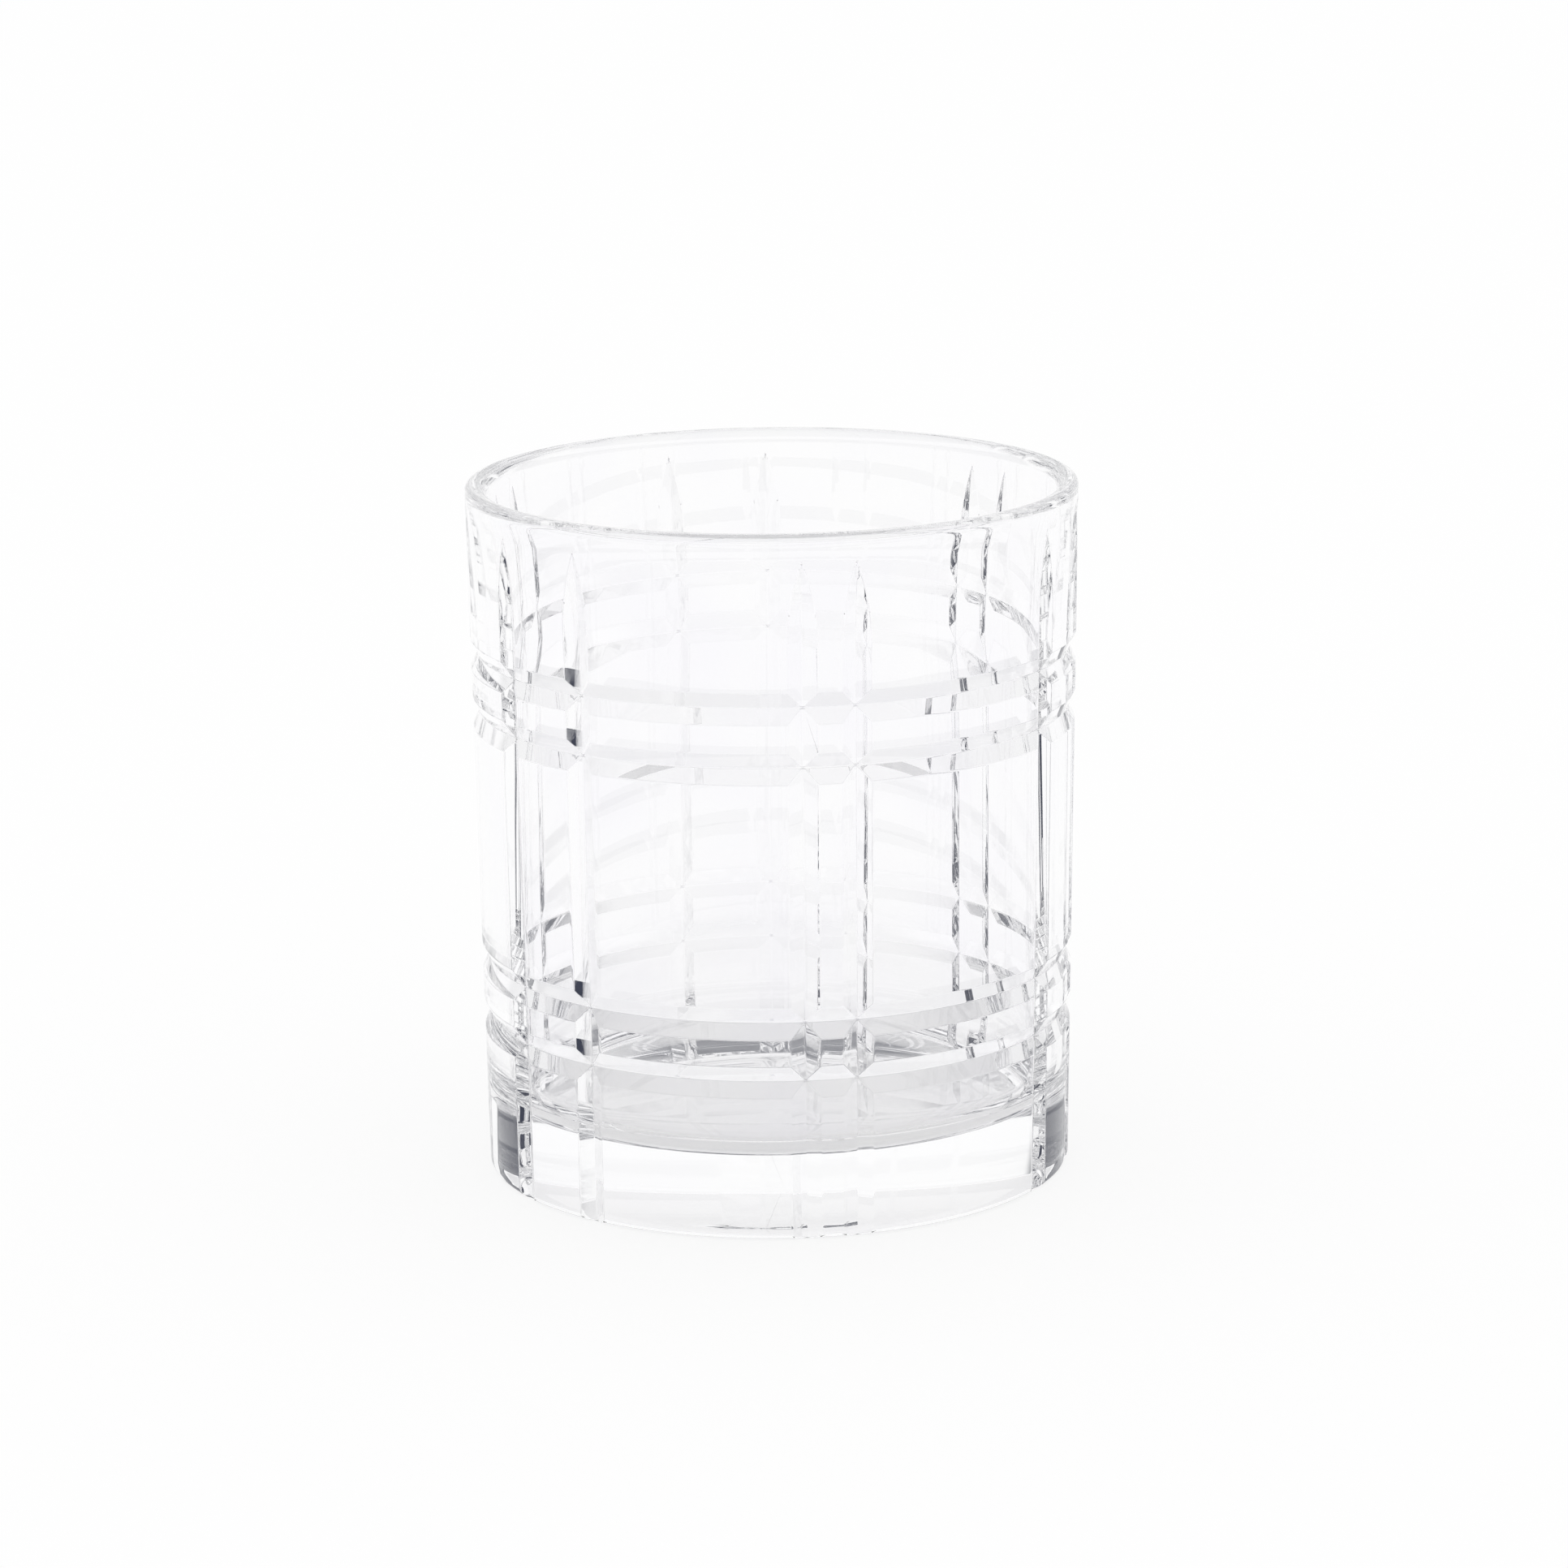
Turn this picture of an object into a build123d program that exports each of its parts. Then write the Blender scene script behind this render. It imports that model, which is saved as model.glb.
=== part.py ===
"""Cut-glass whiskey tumbler: one piece of clear glass with a plaid pattern of V grooves.

Millimetres, +Z up, origin at the middle of the foot ring. A narrow pair of upright
grooves faces -Y.
"""
from build123d import *
from math import atan2, cos, degrees, radians, sin, sqrt, tan
import os

# Overall sizes
HEIGHT = 98.5
RIM_DIAMETER = 86.0
BASE_DIAMETER = 83.0

# Wall: thickest a little below the rim, thinner towards the lip and towards the floor
WALL_THICKNESS = 4.1
THINNING_HEIGHT_BELOW_RIM = 20.0
LIP_THICKNESS = 3.1
LIP_BAND_HEIGHT = 3.5
LIP_BAND_BLEND_RADIUS = 40.0
WALL_BLEND_RADIUS = 80.0
WALL_THICKNESS_AT_FLOOR = 3.3

# Rim and floor
RIM_OUTER_RADIUS = 1.0
RIM_INNER_RADIUS = 2.0
LEAST_RIM_FLAT = 0.05
FLOOR_THICKNESS = 10.5
INNER_CORNER_RADIUS = 6.0

# Underside
FOOT_EDGE_RADIUS = 1.0
FOOT_RING_WIDTH = 5.0
UNDERSIDE_HOLLOW_DEPTH = 0.8

# V grooves, all cut with the same wheel
GROOVE_WIDTH = 4.4
GROOVE_DEPTH = 1.05
CUTTING_WHEEL_RADIUS = 60.0
OVERCUT = 2.0

# Ring grooves: two pairs
LOWER_RING_PAIR_HEIGHT = 26.65
UPPER_RING_PAIR_HEIGHT = 70.55
RING_PAIR_SPACING = 8.3

# Upright grooves: narrow and wide pairs by turns, round the glass
PAIRS_OF_EACH_KIND = 3
NARROW_PAIR_ANGLE = 10.0
WIDE_PAIR_ANGLE = 20.0
WIDE_PAIR_TURN = -1.0
PLAIN_BAND_BELOW_RIM = 4.0

RIM_RADIUS = RIM_DIAMETER / 2
BASE_RADIUS = BASE_DIAMETER / 2
TAPER_ANGLE = degrees(atan2(RIM_RADIUS - BASE_RADIUS, HEIGHT))


def outer_radius(height):
    """Radius of the plain outside at a height above the foot."""
    return BASE_RADIUS + (RIM_RADIUS - BASE_RADIUS) * height / HEIGHT


def inside(height, thickness):
    """Point of the half section inside the wall, at a height where it has this thickness."""
    return outer_radius(height) - thickness / cos(radians(TAPER_ANGLE)), 0, height


def round_corner(section, radius, place):
    """Round the corner of the half section that lies at the given place."""
    corner = section.vertices().sort_by_distance(place)[0]
    return fillet(corner, radius)


def plain_glass():
    """The glass before cutting, turned from its half section."""
    hollow_radius = BASE_RADIUS - FOOT_RING_WIDTH
    rim_inner = min(RIM_INNER_RADIUS, LIP_THICKNESS - RIM_OUTER_RADIUS - LEAST_RIM_FLAT)
    bend = atan2(WALL_THICKNESS - LIP_THICKNESS, THINNING_HEIGHT_BELOW_RIM - LIP_BAND_HEIGHT)
    band_room = LIP_BAND_HEIGHT - rim_inner - LEAST_RIM_FLAT
    foot = (BASE_RADIUS, 0, 0)
    rim = (RIM_RADIUS, 0, HEIGHT)
    lip = inside(HEIGHT, LIP_THICKNESS)
    lip_band_end = inside(HEIGHT - LIP_BAND_HEIGHT, LIP_THICKNESS)
    thickest = inside(HEIGHT - THINNING_HEIGHT_BELOW_RIM, WALL_THICKNESS)
    floor_corner = inside(FLOOR_THICKNESS, WALL_THICKNESS_AT_FLOOR)
    underside = ThreePointArc(
        (-hollow_radius, 0, 0), (0, 0, UNDERSIDE_HOLLOW_DEPTH), (hollow_radius, 0, 0)
    ).trim(0.5, 1.0)
    outline = Polyline(
        (hollow_radius, 0, 0),
        foot,
        rim,
        lip,
        lip_band_end,
        thickest,
        floor_corner,
        (0, 0, FLOOR_THICKNESS),
        (0, 0, UNDERSIDE_HOLLOW_DEPTH),
    )
    section = make_face(Wire([underside, *outline.edges()]))
    section = round_corner(section, FOOT_EDGE_RADIUS, foot)
    section = round_corner(section, RIM_OUTER_RADIUS, rim)
    section = round_corner(section, rim_inner, lip)
    section = round_corner(section, min(LIP_BAND_BLEND_RADIUS, band_room / tan(bend / 2)), lip_band_end)
    section = round_corner(section, WALL_BLEND_RADIUS, thickest)
    section = round_corner(section, INNER_CORNER_RADIUS, floor_corner)
    return revolve(section, Axis.Z)


def wall_place(height):
    """Point on the outside at -Y, the way out of the glass there and the way up the wall."""
    taper = radians(TAPER_ANGLE)
    point = Vector(0, -outer_radius(height), height)
    return point, Vector(0, -cos(taper), -sin(taper)), Vector(0, -sin(taper), cos(taper))


def groove_triangle(point, way_out, normal):
    """V section of a cutter at a point of the outside, in the plane with the given normal."""
    half_width_outside = (GROOVE_DEPTH + OVERCUT) * GROOVE_WIDTH / 2 / GROOVE_DEPTH
    outline = Polyline(
        (-GROOVE_DEPTH, 0),
        (OVERCUT, half_width_outside),
        (OVERCUT, -half_width_outside),
        close=True,
    )
    return Plane(point, x_dir=way_out, z_dir=normal) * make_face(outline)


def ring_cutter(height):
    """Ring with a V section, square to the tapered outside."""
    point, way_out, way_up = wall_place(height)
    return revolve(groove_triangle(point, way_out, way_up.cross(way_out)), Axis.Z)


def upright_cutter():
    """Straight V up the outside at -Y, ending in the round run-out that the wheel leaves."""
    run_out = sqrt(CUTTING_WHEEL_RADIUS**2 - (CUTTING_WHEEL_RADIUS - GROOVE_DEPTH) ** 2)
    point, way_out, way_up = wall_place(HEIGHT - PLAIN_BAND_BELOW_RIM - run_out)
    triangle = groove_triangle(point, way_out, way_up)
    straight = extrude(triangle, amount=HEIGHT, dir=-way_up)
    wheel_axis = Axis(point + way_out * (CUTTING_WHEEL_RADIUS - GROOVE_DEPTH), way_up.cross(way_out))
    return straight + revolve(triangle, wheel_axis, revolution_arc=90)


def upright_angles():
    """Angles of the upright grooves round the glass, the first narrow pair centred on -Y."""
    step = 360 / PAIRS_OF_EACH_KIND
    for pair in range(PAIRS_OF_EACH_KIND):
        for side in (-0.5, 0.5):
            yield pair * step + side * NARROW_PAIR_ANGLE
            yield (pair + 0.5) * step + WIDE_PAIR_TURN + side * WIDE_PAIR_ANGLE


def tumbler():
    """The cut glass."""
    half_spacing = RING_PAIR_SPACING / 2
    cutters = [
        ring_cutter(pair_height + side * half_spacing)
        for pair_height in (LOWER_RING_PAIR_HEIGHT, UPPER_RING_PAIR_HEIGHT)
        for side in (-1, 1)
    ]
    upright = upright_cutter()
    cutters += [Rot(0, 0, angle) * upright for angle in upright_angles()]
    return plain_glass() - cutters


os.makedirs("parts", exist_ok=True)
export_step(tumbler(), "parts/tumbler.step")
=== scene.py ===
"""Cut-glass whiskey tumbler: its finished glass, the studio that it stands in and the camera."""
from math import asin, atan2, cos, pi, radians, sin, sqrt, tan

import bmesh
import bpy
from bpy.props import FloatProperty, FloatVectorProperty, IntProperty, PointerProperty
from mathutils import Matrix, Vector


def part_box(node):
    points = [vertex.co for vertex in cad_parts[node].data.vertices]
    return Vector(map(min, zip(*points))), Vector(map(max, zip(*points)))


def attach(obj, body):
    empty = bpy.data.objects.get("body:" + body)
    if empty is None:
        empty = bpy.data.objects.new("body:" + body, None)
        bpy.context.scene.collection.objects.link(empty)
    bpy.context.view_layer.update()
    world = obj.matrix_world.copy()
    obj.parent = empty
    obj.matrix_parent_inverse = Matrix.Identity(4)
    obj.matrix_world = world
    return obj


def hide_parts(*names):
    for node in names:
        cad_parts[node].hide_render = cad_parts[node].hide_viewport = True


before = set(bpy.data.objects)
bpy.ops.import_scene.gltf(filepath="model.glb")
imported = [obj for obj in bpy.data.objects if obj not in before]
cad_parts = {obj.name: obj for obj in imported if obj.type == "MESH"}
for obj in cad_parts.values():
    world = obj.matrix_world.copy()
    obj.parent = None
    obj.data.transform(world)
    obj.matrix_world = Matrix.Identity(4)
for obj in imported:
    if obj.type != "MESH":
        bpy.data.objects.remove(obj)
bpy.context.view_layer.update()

bl_info = {
    "name": "Cut-glass tumbler",
    "version": (1, 0, 0),
    "blender": (4, 5, 0),
    "location": "View3D > Sidebar > Tumbler",
    "description": "Models a plaid-cut whiskey tumbler, its clear crystal and a white studio",
    "category": "Object",
}

MM = 0.001
NODE = "tumbler"
BODY = "root"
NODE_LOW, NODE_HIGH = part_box(NODE)
FOOT = Vector(((NODE_LOW.x + NODE_HIGH.x) / 2, (NODE_LOW.y + NODE_HIGH.y) / 2, NODE_LOW.z))
NODE_HEIGHT = NODE_HIGH.z - NODE_LOW.z

FLOOR_SIZE = 6.0                # the floor reaches past the picture on every side
FLOOR_GAP = 0.05 * MM           # the foot stands this far above the floor, so they never touch
OVERCUT = 0.45 * MM             # how far a cutter stands out of the wall
CUTTER_BELOW_FOOT = 5.0 * MM    # how far the upright cutter runs past the foot
RUN_OUT_TURN = radians(24)      # how far the wheel's arc is followed, until it is clear of the wall
RUN_OUT_STEPS = 36
SAME_POINT = 0.0001 * MM        # points nearer than this are one point
SLIVER = 0.02 * MM              # shorter edges are left over from cutting
CUT_EDGE = radians(15)          # edges bent by more than this were cut
POLISH_STEPS = 2
AXIS_GAP = 0.02                 # share of the underside's arc that the flat cap in its middle takes
CORD_RANGE = (0.35, 0.6)        # noise values between which the cord tint gives way to the tint
WIPE_RANGE = (0.45, 0.8)        # noise values between which the polish goes from clean to wiped
SOFT_EDGE = radians(3)          # half of the width of the dark room's soft edges
GLASS_BOUNCES = 48


def length(name, description, default, **more):
    """A size in metres that the sidebar shows."""
    return FloatProperty(
        name=name, description=description, default=default, unit="LENGTH", precision=5, **more
    )


def colour(name, description, default):
    """A colour that the sidebar shows."""
    return FloatVectorProperty(
        name=name, description=description, default=default, size=4, subtype="COLOR", min=0, max=1
    )


def angle(name, description, default):
    """An angle that the sidebar shows."""
    return FloatProperty(name=name, description=description, default=default, subtype="ANGLE")


class TumblerShape(bpy.types.PropertyGroup):
    """Sizes of the glass; its height comes from the frame."""

    rim_radius: length("Rim radius", "Outside of the plain wall at the rim", 43.0 * MM)
    base_radius: length("Base radius", "Outside of the plain wall at the foot", 41.5 * MM)
    wall: length("Wall", "Greatest thickness of the wall, where it starts to thin", 4.1 * MM)
    floor_wall: length("Wall at the floor", "Thickness of the wall at the floor", 3.3 * MM)
    lip: length("Lip", "Thickness of the even band below the rim", 3.1 * MM)
    lip_band: length("Lip band", "Height of the even band below the rim", 3.5 * MM)
    thinning: length("Thinning", "How far below the rim the wall starts to thin", 20.0 * MM)
    lip_blend: length("Lip blend", "Radius of the bend below the even band", 40.0 * MM)
    wall_blend: length("Wall blend", "Radius of the bend where the wall is thickest", 80.0 * MM)
    lip_outside: length("Lip outside", "Radius on the outer edge of the rim", 1.0 * MM)
    lip_inside: length("Lip inside", "Radius on the inner edge of the rim", 2.0 * MM)
    floor: length("Floor", "Thickness of the solid base", 10.5 * MM)
    inner_corner: length("Inner corner", "Radius between the wall and the floor", 6.0 * MM)
    foot_edge: length("Foot edge", "Radius at the outer edge of the foot", 1.0 * MM)
    foot_ring: length("Foot ring", "Width of the ring that the glass stands on", 5.0 * MM)
    hollow: length("Hollow", "Depth of the shallow hollow under the base", 0.8 * MM)
    segments: IntProperty(name="Segments", description="Faces round the glass", default=360, min=90)


class GrooveShape(bpy.types.PropertyGroup):
    """Sizes and places of the V grooves."""

    width: length("Width", "Width of a groove at the surface", 4.4 * MM)
    depth: length("Depth", "Depth of a groove", 1.05 * MM)
    wheel_radius: length("Wheel radius", "Cutting wheel that leaves the run-out", 60.0 * MM)
    lower_pair: length("Lower ring pair", "Height of the middle of the lower pair", 26.65 * MM)
    upper_pair: length("Upper ring pair", "Height of the middle of the upper pair", 70.55 * MM)
    ring_spacing: length("Ring spacing", "From valley to valley in a ring pair", 8.3 * MM)
    narrow_pair: angle("Narrow pair", "Angle between the valleys of a narrow pair", radians(10))
    wide_pair: angle("Wide pair", "Angle between the valleys of a wide pair", radians(20))
    wide_pair_turn: angle("Wide pair turn", "From midway between two narrow pairs", radians(-1))
    pairs: IntProperty(name="Pairs", description="Pairs of each kind round the glass", default=3)
    plain_band: length("Plain band", "Uncut height below the rim", 4.0 * MM)
    polish: length("Polish", "Width of the polished rounding along the cut edges", 0.15 * MM)


class CrystalFinish(bpy.types.PropertyGroup):
    """Finish of the glass."""

    tint: colour("Tint", "Colour of the clearest glass", (0.998, 0.997, 1.0, 1))
    cord_tint: colour("Cord tint", "Colour of the faint cords in the glass", (0.985, 0.982, 0.996, 1))
    cord_size: length("Cord size", "Size of the slow waves that the mould leaves", 14.0 * MM)
    cord_height: length("Cord height", "Height of those waves", 0.012 * MM)
    wipe_size: length("Wipe size", "Size of the faint marks that a cloth leaves", 5.0 * MM)
    least_roughness: FloatProperty(name="Least roughness", description="Clean polish", default=0.0)
    most_roughness: FloatProperty(name="Most roughness", description="Wiped polish", default=0.004)
    ior: FloatProperty(name="IOR", description="Index of refraction of the crystal", default=1.52)


class StudioLook(bpy.types.PropertyGroup):
    """Floor, light and camera."""

    white: colour("White", "Colour of the light and the background", (1, 1, 1, 1))
    floor: colour("Floor", "Colour of the floor", (0.985, 0.985, 0.985, 1))
    glow: FloatProperty(name="Glow", description="Share of the floor lit from below", default=0.85)
    glass_glow: FloatProperty(name="Glow in glass", description="That share in the glass", default=0.66)
    dark: colour("Dark", "Colour of the dark room beside the white backdrop", (0.012, 0.018, 0.045, 1))
    backdrop: angle("Backdrop", "Half of the angle that the white backdrop fills", radians(51))
    dark_height: angle("Dark height", "How high the dark room reaches", radians(26))
    ceiling: angle("Ceiling", "Angle up from the horizon where the dark ceiling starts", radians(46))
    camera_angle: angle("Camera angle", "Angle of the camera round the glass", radians(-10.2))


def deselect():
    """Leave nothing selected."""
    if bpy.context.object and bpy.context.object.mode != "OBJECT":
        bpy.ops.object.mode_set(mode="OBJECT")
    bpy.ops.object.select_all(action="DESELECT")


def pick(piece):
    """Select one object and make it the active one."""
    deselect()
    piece.select_set(True)
    bpy.context.view_layer.objects.active = piece


def select_points(mesh, test):
    """In edit mode, select only the points that pass the test, and the edges between them."""
    edited = bmesh.from_edit_mesh(mesh)
    for vert in edited.verts:
        vert.select_set(test(vert))
    edited.select_flush(True)
    bmesh.update_edit_mesh(mesh)


def select_faces(mesh, test):
    """In edit mode, select only the faces that pass the test."""
    edited = bmesh.from_edit_mesh(mesh)
    for face in edited.faces:
        face.select_set(test(face))
    bmesh.update_edit_mesh(mesh)


def turned(name, outline, segments, start_angle, closed=False):
    """A turned piece: one circle, extruded and resized from point to point of a half section.

    The outline is a list of (radius, height). Its ends are capped flat, or meet where closed.
    """
    deselect()
    radius, height = outline[0]
    bpy.ops.mesh.primitive_circle_add(
        vertices=segments, radius=radius, location=(0, 0, height), rotation=(0, 0, start_angle)
    )
    piece = bpy.context.object
    piece.name = name
    bpy.ops.object.transform_apply(location=True, rotation=True, scale=True)
    bpy.ops.object.mode_set(mode="EDIT")
    bpy.ops.mesh.select_all(action="SELECT")
    if not closed:
        bpy.ops.mesh.edge_face_add()
        bpy.ops.mesh.select_all(action="SELECT")
    for next_radius, next_height in outline[1:]:
        grow = next_radius / radius
        bpy.ops.mesh.extrude_region_move(
            TRANSFORM_OT_translate={"value": (0, 0, next_height - height)}
        )
        bpy.ops.transform.resize(value=(grow, grow, 1), center_override=(0, 0, next_height))
        radius, height = next_radius, next_height
    bpy.ops.mesh.select_all(action="SELECT")
    bpy.ops.mesh.remove_doubles(threshold=SAME_POINT)
    bpy.ops.mesh.normals_make_consistent(inside=False)
    bpy.ops.object.mode_set(mode="OBJECT")
    return piece


def arc(centre, radius, start, end, steps):
    """Points of an arc in the half section, from one angle to the other, both included."""
    return [
        (
            centre[0] + radius * cos(start + (end - start) * i / steps),
            centre[1] + radius * sin(start + (end - start) * i / steps),
        )
        for i in range(steps + 1)
    ]


def rounded(before, corner, after, radius, steps):
    """Points of the arc that rounds one corner of an outline."""
    here = Vector(corner)
    back, on = (Vector(before) - here).normalized(), (Vector(after) - here).normalized()
    half = back.angle(on) / 2
    centre = here + (back + on).normalized() * radius / sin(half)
    first = here + back * radius / tan(half) - centre
    last = here + on * radius / tan(half) - centre
    start = atan2(first.y, first.x)
    sweep = (atan2(last.y, last.x) - start + pi) % (2 * pi) - pi
    return arc(centre, radius, start, start + sweep, steps)


def wall_radius(shape, height):
    """Radius of the plain outside at a height above the foot."""
    return shape.base_radius + (shape.rim_radius - shape.base_radius) * height / NODE_HEIGHT


def inside(shape, height, thickness):
    """Point of the half section inside the wall, at a height where it has this thickness."""
    taper = atan2(shape.rim_radius - shape.base_radius, NODE_HEIGHT)
    return wall_radius(shape, height) - thickness / cos(taper), height


def glass_outline(shape):
    """Half section of the glass, from the middle of the underside to the middle of the floor."""
    ring = shape.base_radius - shape.foot_ring
    dome = (ring**2 + shape.hollow**2) / (2 * shape.hollow)
    dome_angle = asin(ring / dome)
    top = NODE_HEIGHT
    underside = (ring, 0)
    foot = (shape.base_radius, 0)
    rim = (shape.rim_radius, top)
    lip = inside(shape, top, shape.lip)
    band_end = inside(shape, top - shape.lip_band, shape.lip)
    thickest = inside(shape, top - shape.thinning, shape.wall)
    corner = inside(shape, shape.floor, shape.floor_wall)
    middle = (shape.inner_corner, shape.floor)
    points = arc(
        (0, shape.hollow - dome), dome, pi / 2 - AXIS_GAP * dome_angle, pi / 2 - dome_angle, 12
    )
    points += rounded(underside, foot, rim, shape.foot_edge, 8)
    points += rounded(foot, rim, lip, shape.lip_outside, 8)
    points += rounded(rim, lip, band_end, shape.lip_inside, 12)
    points += rounded(lip, band_end, thickest, shape.lip_blend, 6)
    points += rounded(band_end, thickest, corner, shape.wall_blend, 12)
    points += rounded(thickest, corner, middle, shape.inner_corner, 16)
    return points + [middle]


def ring_outline(shape, grooves, height):
    """V section of the cutter of a ring groove, as a closed outline."""
    taper = atan2(shape.rim_radius - shape.base_radius, NODE_HEIGHT)
    valley = Vector((wall_radius(shape, height), height))
    out, up = Vector((cos(taper), -sin(taper))), Vector((sin(taper), cos(taper)))
    half = (grooves.depth + OVERCUT) * grooves.width / 2 / grooves.depth
    corners = [valley - out * grooves.depth, valley + out * OVERCUT + up * half]
    corners.append(valley + out * OVERCUT - up * half)
    return [tuple(c) for c in [*corners, corners[0]]]


def upright_turns(grooves):
    """Angles of the upright grooves from -Y: narrow and wide pairs by turns."""
    step = 2 * pi / grooves.pairs
    for pair in range(grooves.pairs):
        for side in (-0.5, 0.5):
            yield pair * step + side * grooves.narrow_pair
            yield (pair + 0.5) * step + grooves.wide_pair_turn + side * grooves.wide_pair


def upright_groove_cutter(shape, grooves):
    """V prism along the wall at -Y, spun out of the glass at its top as the wheel ran out."""
    taper = atan2(shape.rim_radius - shape.base_radius, NODE_HEIGHT)
    out, up = Vector((0, -cos(taper), -sin(taper))), Vector((0, -sin(taper), cos(taper)))
    wheel = grooves.wheel_radius
    run_out = sqrt(wheel**2 - (wheel - grooves.depth) ** 2)
    top = NODE_HEIGHT - grooves.plain_band - run_out
    place = Vector((0, -wall_radius(shape, top), top))
    half = (grooves.depth + OVERCUT) * grooves.width / 2 / grooves.depth
    corners = [
        place - out * grooves.depth,
        place + out * OVERCUT + Vector((half, 0, 0)),
        place + out * OVERCUT - Vector((half, 0, 0)),
    ]
    deselect()
    bpy.ops.mesh.primitive_circle_add(vertices=3, radius=half, fill_type="NGON")
    cutter = bpy.context.object
    bpy.ops.object.mode_set(mode="EDIT")
    edited = bmesh.from_edit_mesh(cutter.data)
    for vert, corner in zip(edited.verts, corners):
        vert.co = corner
    bmesh.update_edit_mesh(cutter.data)
    bpy.ops.mesh.select_all(action="SELECT")
    bpy.ops.mesh.extrude_region_move(
        TRANSFORM_OT_translate={"value": -up * (top / cos(taper) + CUTTER_BELOW_FOOT)}
    )
    just_below_top = top - 2 * grooves.depth
    select_faces(cutter.data, lambda face: face.calc_center_median().z > just_below_top)
    bpy.ops.mesh.delete(type="ONLY_FACE")
    select_points(cutter.data, lambda vert: vert.co.z > just_below_top)
    bpy.ops.mesh.spin(
        steps=RUN_OUT_STEPS,
        angle=RUN_OUT_TURN,
        center=place + out * (wheel - grooves.depth),
        axis=out.cross(up),
    )
    bpy.ops.mesh.edge_face_add()
    bpy.ops.mesh.select_all(action="SELECT")
    bpy.ops.mesh.remove_doubles(threshold=SAME_POINT)
    bpy.ops.mesh.normals_make_consistent(inside=False)
    bpy.ops.object.mode_set(mode="OBJECT")
    return cutter


def joined(pieces, name):
    """Join pieces into one object."""
    pick(pieces[0])
    for piece in pieces[1:]:
        piece.select_set(True)
    bpy.ops.object.join()
    pieces[0].name = name
    return pieces[0]


def turned_copy(piece, turn):
    """A copy with its own mesh, turned about the middle of the glass."""
    pick(piece)
    bpy.ops.object.duplicate(linked=False)
    copy = bpy.context.object
    bpy.ops.transform.rotate(value=turn, orient_axis="Z", center_override=(0, 0, 0))
    bpy.ops.object.transform_apply(location=True, rotation=True, scale=True)
    return copy


def cut(piece, cutter):
    """Take the cutter out of the piece and remove the cutter."""
    pick(piece)
    modifier = piece.modifiers.new("cut", "BOOLEAN")
    modifier.operation = "DIFFERENCE"
    modifier.solver = "MANIFOLD"
    modifier.object = cutter
    bpy.ops.object.modifier_apply(modifier=modifier.name)
    bpy.data.objects.remove(cutter)


class TUMBLER_OT_glass(bpy.types.Operator):
    """Turn the glass, cut its grooves and polish the edges"""

    bl_idname = "tumbler.glass"
    bl_label = "Cut the glass"

    def execute(self, context):
        shape, grooves = context.scene.tumbler_shape, context.scene.tumbler_grooves
        half_step = pi / shape.segments
        piece = turned("cut_glass_tumbler", glass_outline(shape), shape.segments, half_step)
        rings = [
            turned(
                "ring_cutter",
                ring_outline(shape, grooves, pair + side * grooves.ring_spacing / 2),
                shape.segments,
                half_step,
                closed=True,
            )
            for pair in (grooves.lower_pair, grooves.upper_pair)
            for side in (-1, 1)
        ]
        cut(piece, joined(rings, "ring_cutters"))
        upright = upright_groove_cutter(shape, grooves)
        for turn in upright_turns(grooves):
            cut(piece, turned_copy(upright, turn))
        bpy.data.objects.remove(upright)
        finish_edges(piece, grooves.polish)
        piece.data.materials.clear()
        piece.data.materials.append(crystal(context.scene.tumbler_finish))
        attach(piece, BODY)
        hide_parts(NODE)
        return {"FINISHED"}


def finish_edges(piece, polish):
    """Clear the slivers, round the cut edges a little, shade the walls smooth and keep facets flat."""
    pick(piece)
    bpy.ops.object.mode_set(mode="EDIT")
    bpy.ops.mesh.select_all(action="SELECT")
    bpy.ops.mesh.dissolve_degenerate(threshold=SLIVER)
    bpy.ops.object.mode_set(mode="OBJECT")
    if polish > 0:
        bevel = piece.modifiers.new("polish", "BEVEL")
        bevel.width = polish
        bevel.segments = POLISH_STEPS
        bevel.limit_method = "ANGLE"
        bevel.angle_limit = CUT_EDGE
        bevel.use_clamp_overlap = False
        bpy.ops.object.modifier_apply(modifier=bevel.name)
    bpy.ops.object.shade_smooth_by_angle(angle=CUT_EDGE)
    flat = piece.modifiers.new("flat facets", "WEIGHTED_NORMAL")
    flat.mode = "FACE_AREA"
    flat.weight = 100
    flat.keep_sharp = True
    bpy.ops.object.modifier_apply(modifier=flat.name)


def noise(tree, place, size, detail):
    """Soft noise whose patches have about the given size."""
    node = tree.nodes.new("ShaderNodeTexNoise")
    node.inputs["Scale"].default_value = 1 / size
    node.inputs["Detail"].default_value = detail
    tree.links.new(place, node.inputs["Vector"])
    return node.outputs["Fac"]


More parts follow.
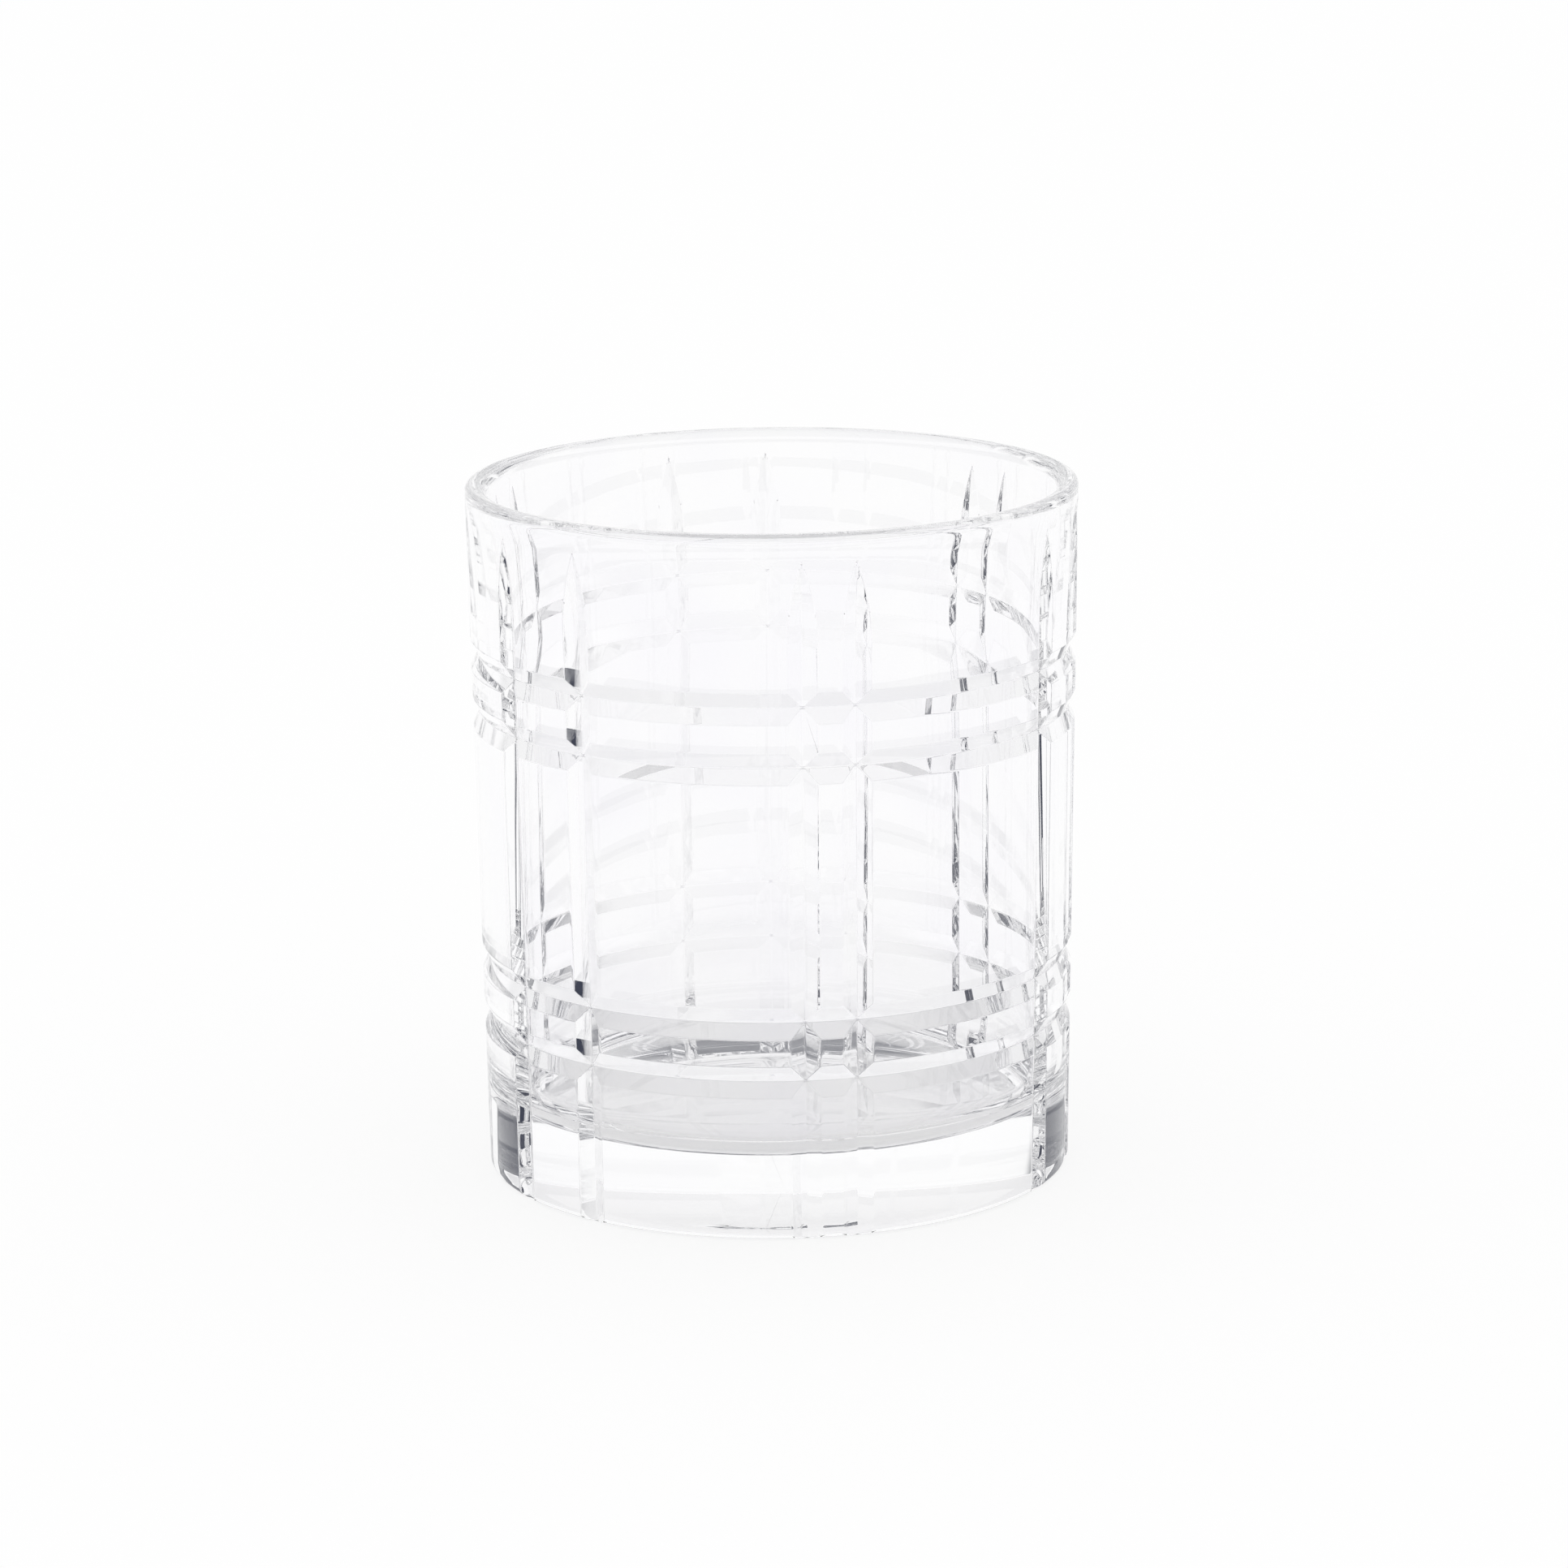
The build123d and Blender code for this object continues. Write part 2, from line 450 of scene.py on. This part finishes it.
def crystal(finish):
    """Clear polished crystal, with faint cords in the glass and cloth marks on its polish."""
    material = bpy.data.materials.new("clear_crystal")
    material.use_nodes = True
    tree = material.node_tree
    shader = tree.nodes["Principled BSDF"]
    shader.inputs["Metallic"].default_value = 0
    shader.inputs["IOR"].default_value = finish.ior
    shader.inputs["Transmission Weight"].default_value = 1
    place = tree.nodes.new("ShaderNodeTexCoord").outputs["Object"]

    cords = noise(tree, place, finish.cord_size, detail=1)
    colours = tree.nodes.new("ShaderNodeValToRGB")
    for stop, position, tint in zip(
        colours.color_ramp.elements, CORD_RANGE, (finish.cord_tint, finish.tint)
    ):
        stop.position = position
        stop.color = tint
    tree.links.new(cords, colours.inputs["Fac"])
    tree.links.new(colours.outputs["Color"], shader.inputs["Base Color"])

    waves = tree.nodes.new("ShaderNodeBump")
    waves.inputs["Strength"].default_value = 1
    waves.inputs["Distance"].default_value = finish.cord_height
    tree.links.new(cords, waves.inputs["Height"])
    tree.links.new(waves.outputs["Normal"], shader.inputs["Normal"])

    polish = tree.nodes.new("ShaderNodeMapRange")
    polish.inputs["From Min"].default_value, polish.inputs["From Max"].default_value = WIPE_RANGE
    polish.inputs["To Min"].default_value = finish.least_roughness
    polish.inputs["To Max"].default_value = finish.most_roughness
    tree.links.new(noise(tree, place, finish.wipe_size, detail=3), polish.inputs["Value"])
    tree.links.new(polish.outputs["Result"], shader.inputs["Roughness"])
    return material


class TUMBLER_OT_studio(bpy.types.Operator):
    """Set the floor, the light and the camera"""

    bl_idname = "tumbler.studio"
    bl_label = "Set the studio"

    def execute(self, context):
        look = context.scene.tumbler_studio
        deselect()
        bpy.ops.mesh.primitive_plane_add(
            size=FLOOR_SIZE, location=(FOOT.x, FOOT.y, FOOT.z - FLOOR_GAP)
        )
        floor = bpy.context.object
        floor.name = "studio_floor"
        bpy.ops.object.transform_apply(location=True, rotation=True, scale=True)
        floor.data.materials.append(white_floor(look))
        context.scene.world = surroundings(look)
        place_camera(context, look)
        set_light_paths(context)
        context.scene.view_settings.view_transform = "Standard"
        return {"FINISHED"}


def calculate(tree, operation, *values):
    """A math node on numbers and on the results of other nodes."""
    node = tree.nodes.new("ShaderNodeMath")
    node.operation = operation
    for socket, value in zip(node.inputs, values):
        if isinstance(value, bpy.types.NodeSocket):
            tree.links.new(value, socket)
        else:
            socket.default_value = value
    return node.outputs["Value"]


def in_glass(tree):
    """1 on rays that the glass reflects or lets through, and 0 on others."""
    ray = tree.nodes.new("ShaderNodeLightPath")
    return calculate(
        tree, "MAXIMUM", ray.outputs["Is Glossy Ray"], ray.outputs["Is Transmission Ray"]
    )


def white_floor(look):
    """White floor, partly lit from below, that keeps a soft shadow."""
    material = bpy.data.materials.new("white_floor")
    material.use_nodes = True
    tree = material.node_tree
    shader = tree.nodes["Principled BSDF"]
    shader.inputs["Base Color"].default_value = look.floor
    shader.inputs["Roughness"].default_value = 0.9
    glow = tree.nodes.new("ShaderNodeEmission")
    glow.inputs["Color"].default_value = look.white
    glow.inputs["Strength"].default_value = 1
    mix = tree.nodes.new("ShaderNodeMixShader")
    straight = tree.nodes.new("ShaderNodeLightPath").outputs["Is Camera Ray"]
    share = calculate(
        tree,
        "MAXIMUM",
        calculate(tree, "MULTIPLY", straight, look.glow),
        calculate(tree, "MULTIPLY", in_glass(tree), look.glass_glow),
    )
    tree.links.new(share, mix.inputs["Fac"])
    tree.links.new(shader.outputs["BSDF"], mix.inputs[1])
    tree.links.new(glow.outputs["Emission"], mix.inputs[2])
    tree.links.new(mix.outputs["Shader"], tree.nodes["Material Output"].inputs["Surface"])
    return material


def soft_step(tree, value, edge):
    """From 0 to 1 as an angle passes the edge."""
    node = tree.nodes.new("ShaderNodeMapRange")
    node.interpolation_type = "SMOOTHSTEP"
    node.inputs["From Min"].default_value = edge - SOFT_EDGE
    node.inputs["From Max"].default_value = edge + SOFT_EDGE
    tree.links.new(value, node.inputs["Value"])
    return node.outputs["Result"]


def dark_room(tree, look):
    """1 where a direction meets the dark round the backdrop, low down, or the dark ceiling."""
    turn = tree.nodes.new("ShaderNodeMapping")
    turn.inputs["Rotation"].default_value = (0, 0, -look.camera_angle)
    tree.links.new(tree.nodes.new("ShaderNodeTexCoord").outputs["Generated"], turn.inputs["Vector"])
    split = tree.nodes.new("ShaderNodeSeparateXYZ")
    tree.links.new(turn.outputs["Vector"], split.inputs["Vector"])
    across = calculate(tree, "ABSOLUTE", split.outputs["X"])
    aside = calculate(tree, "ARCTAN2", across, split.outputs["Y"])
    up = calculate(tree, "ARCSINE", split.outputs["Z"])
    low = calculate(tree, "SUBTRACT", 1.0, soft_step(tree, up, look.dark_height))
    walls = calculate(tree, "MULTIPLY", soft_step(tree, aside, look.backdrop), low)
    return calculate(tree, "MAXIMUM", walls, soft_step(tree, up, look.ceiling))


def surroundings(look):
    """White light from everywhere, with a dark room round the backdrop that only glass shows."""
    world = bpy.data.worlds.new("studio")
    world.use_nodes = True
    tree = world.node_tree
    mix = tree.nodes.new("ShaderNodeMix")
    mix.data_type = "RGBA"
    mix.inputs["A"].default_value = look.white
    mix.inputs["B"].default_value = look.dark
    shown = calculate(tree, "MULTIPLY", in_glass(tree), dark_room(tree, look))
    tree.links.new(shown, mix.inputs["Factor"])
    tree.links.new(mix.outputs["Result"], tree.nodes["Background"].inputs["Color"])
    return world


def set_light_paths(context):
    """Let light bounce inside the crystal for as long as it does in a real glass."""
    cycles = context.scene.cycles
    cycles.max_bounces = cycles.glossy_bounces = cycles.transmission_bounces = GLASS_BOUNCES


def place_camera(context, look):
    """Camera on a long lens, a little above the rim and looking down at the glass."""
    away, height = 774.0 * MM, 238.0 * MM
    down, roll, pan = radians(13.344), radians(-0.657), radians(0.094)
    film_width, focal_length = 36, 128.73
    camera = bpy.data.objects.new("camera", bpy.data.cameras.new("camera"))
    context.scene.collection.objects.link(camera)
    camera.data.sensor_width = film_width
    camera.data.lens = focal_length
    turn = Matrix.Rotation(look.camera_angle, 4, "Z")
    tilt = Matrix.Rotation(pi / 2 - down, 4, "X")
    camera.matrix_world = (
        turn
        @ Matrix.Translation((FOOT.x, FOOT.y - away, FOOT.z + height))
        @ Matrix.Rotation(-pan, 4, "Z")
        @ tilt
        @ Matrix.Rotation(roll, 4, "Z")
    )
    context.scene.camera = camera


class TUMBLER_PT_panel(bpy.types.Panel):
    """Sizes, finish and studio of the tumbler"""

    bl_label = "Tumbler"
    bl_idname = "TUMBLER_PT_panel"
    bl_space_type = "VIEW_3D"
    bl_region_type = "UI"
    bl_category = "Tumbler"

    def draw(self, context):
        for group_name in GROUPS:
            group = getattr(context.scene, group_name)
            box = self.layout.box()
            for name in group.__annotations__:
                box.prop(group, name)
        self.layout.operator(TUMBLER_OT_glass.bl_idname)
        self.layout.operator(TUMBLER_OT_studio.bl_idname)


GROUPS = {
    "tumbler_shape": TumblerShape,
    "tumbler_grooves": GrooveShape,
    "tumbler_finish": CrystalFinish,
    "tumbler_studio": StudioLook,
}
CLASSES = (*GROUPS.values(), TUMBLER_OT_glass, TUMBLER_OT_studio, TUMBLER_PT_panel)


def register():
    for cls in CLASSES:
        bpy.utils.register_class(cls)
    for name, group in GROUPS.items():
        setattr(bpy.types.Scene, name, PointerProperty(type=group))


def unregister():
    for name in GROUPS:
        delattr(bpy.types.Scene, name)
    for cls in reversed(CLASSES):
        bpy.utils.unregister_class(cls)


def main():
    register()
    bpy.ops.tumbler.glass()
    bpy.ops.tumbler.studio()


if __name__ == "__main__":
    main()
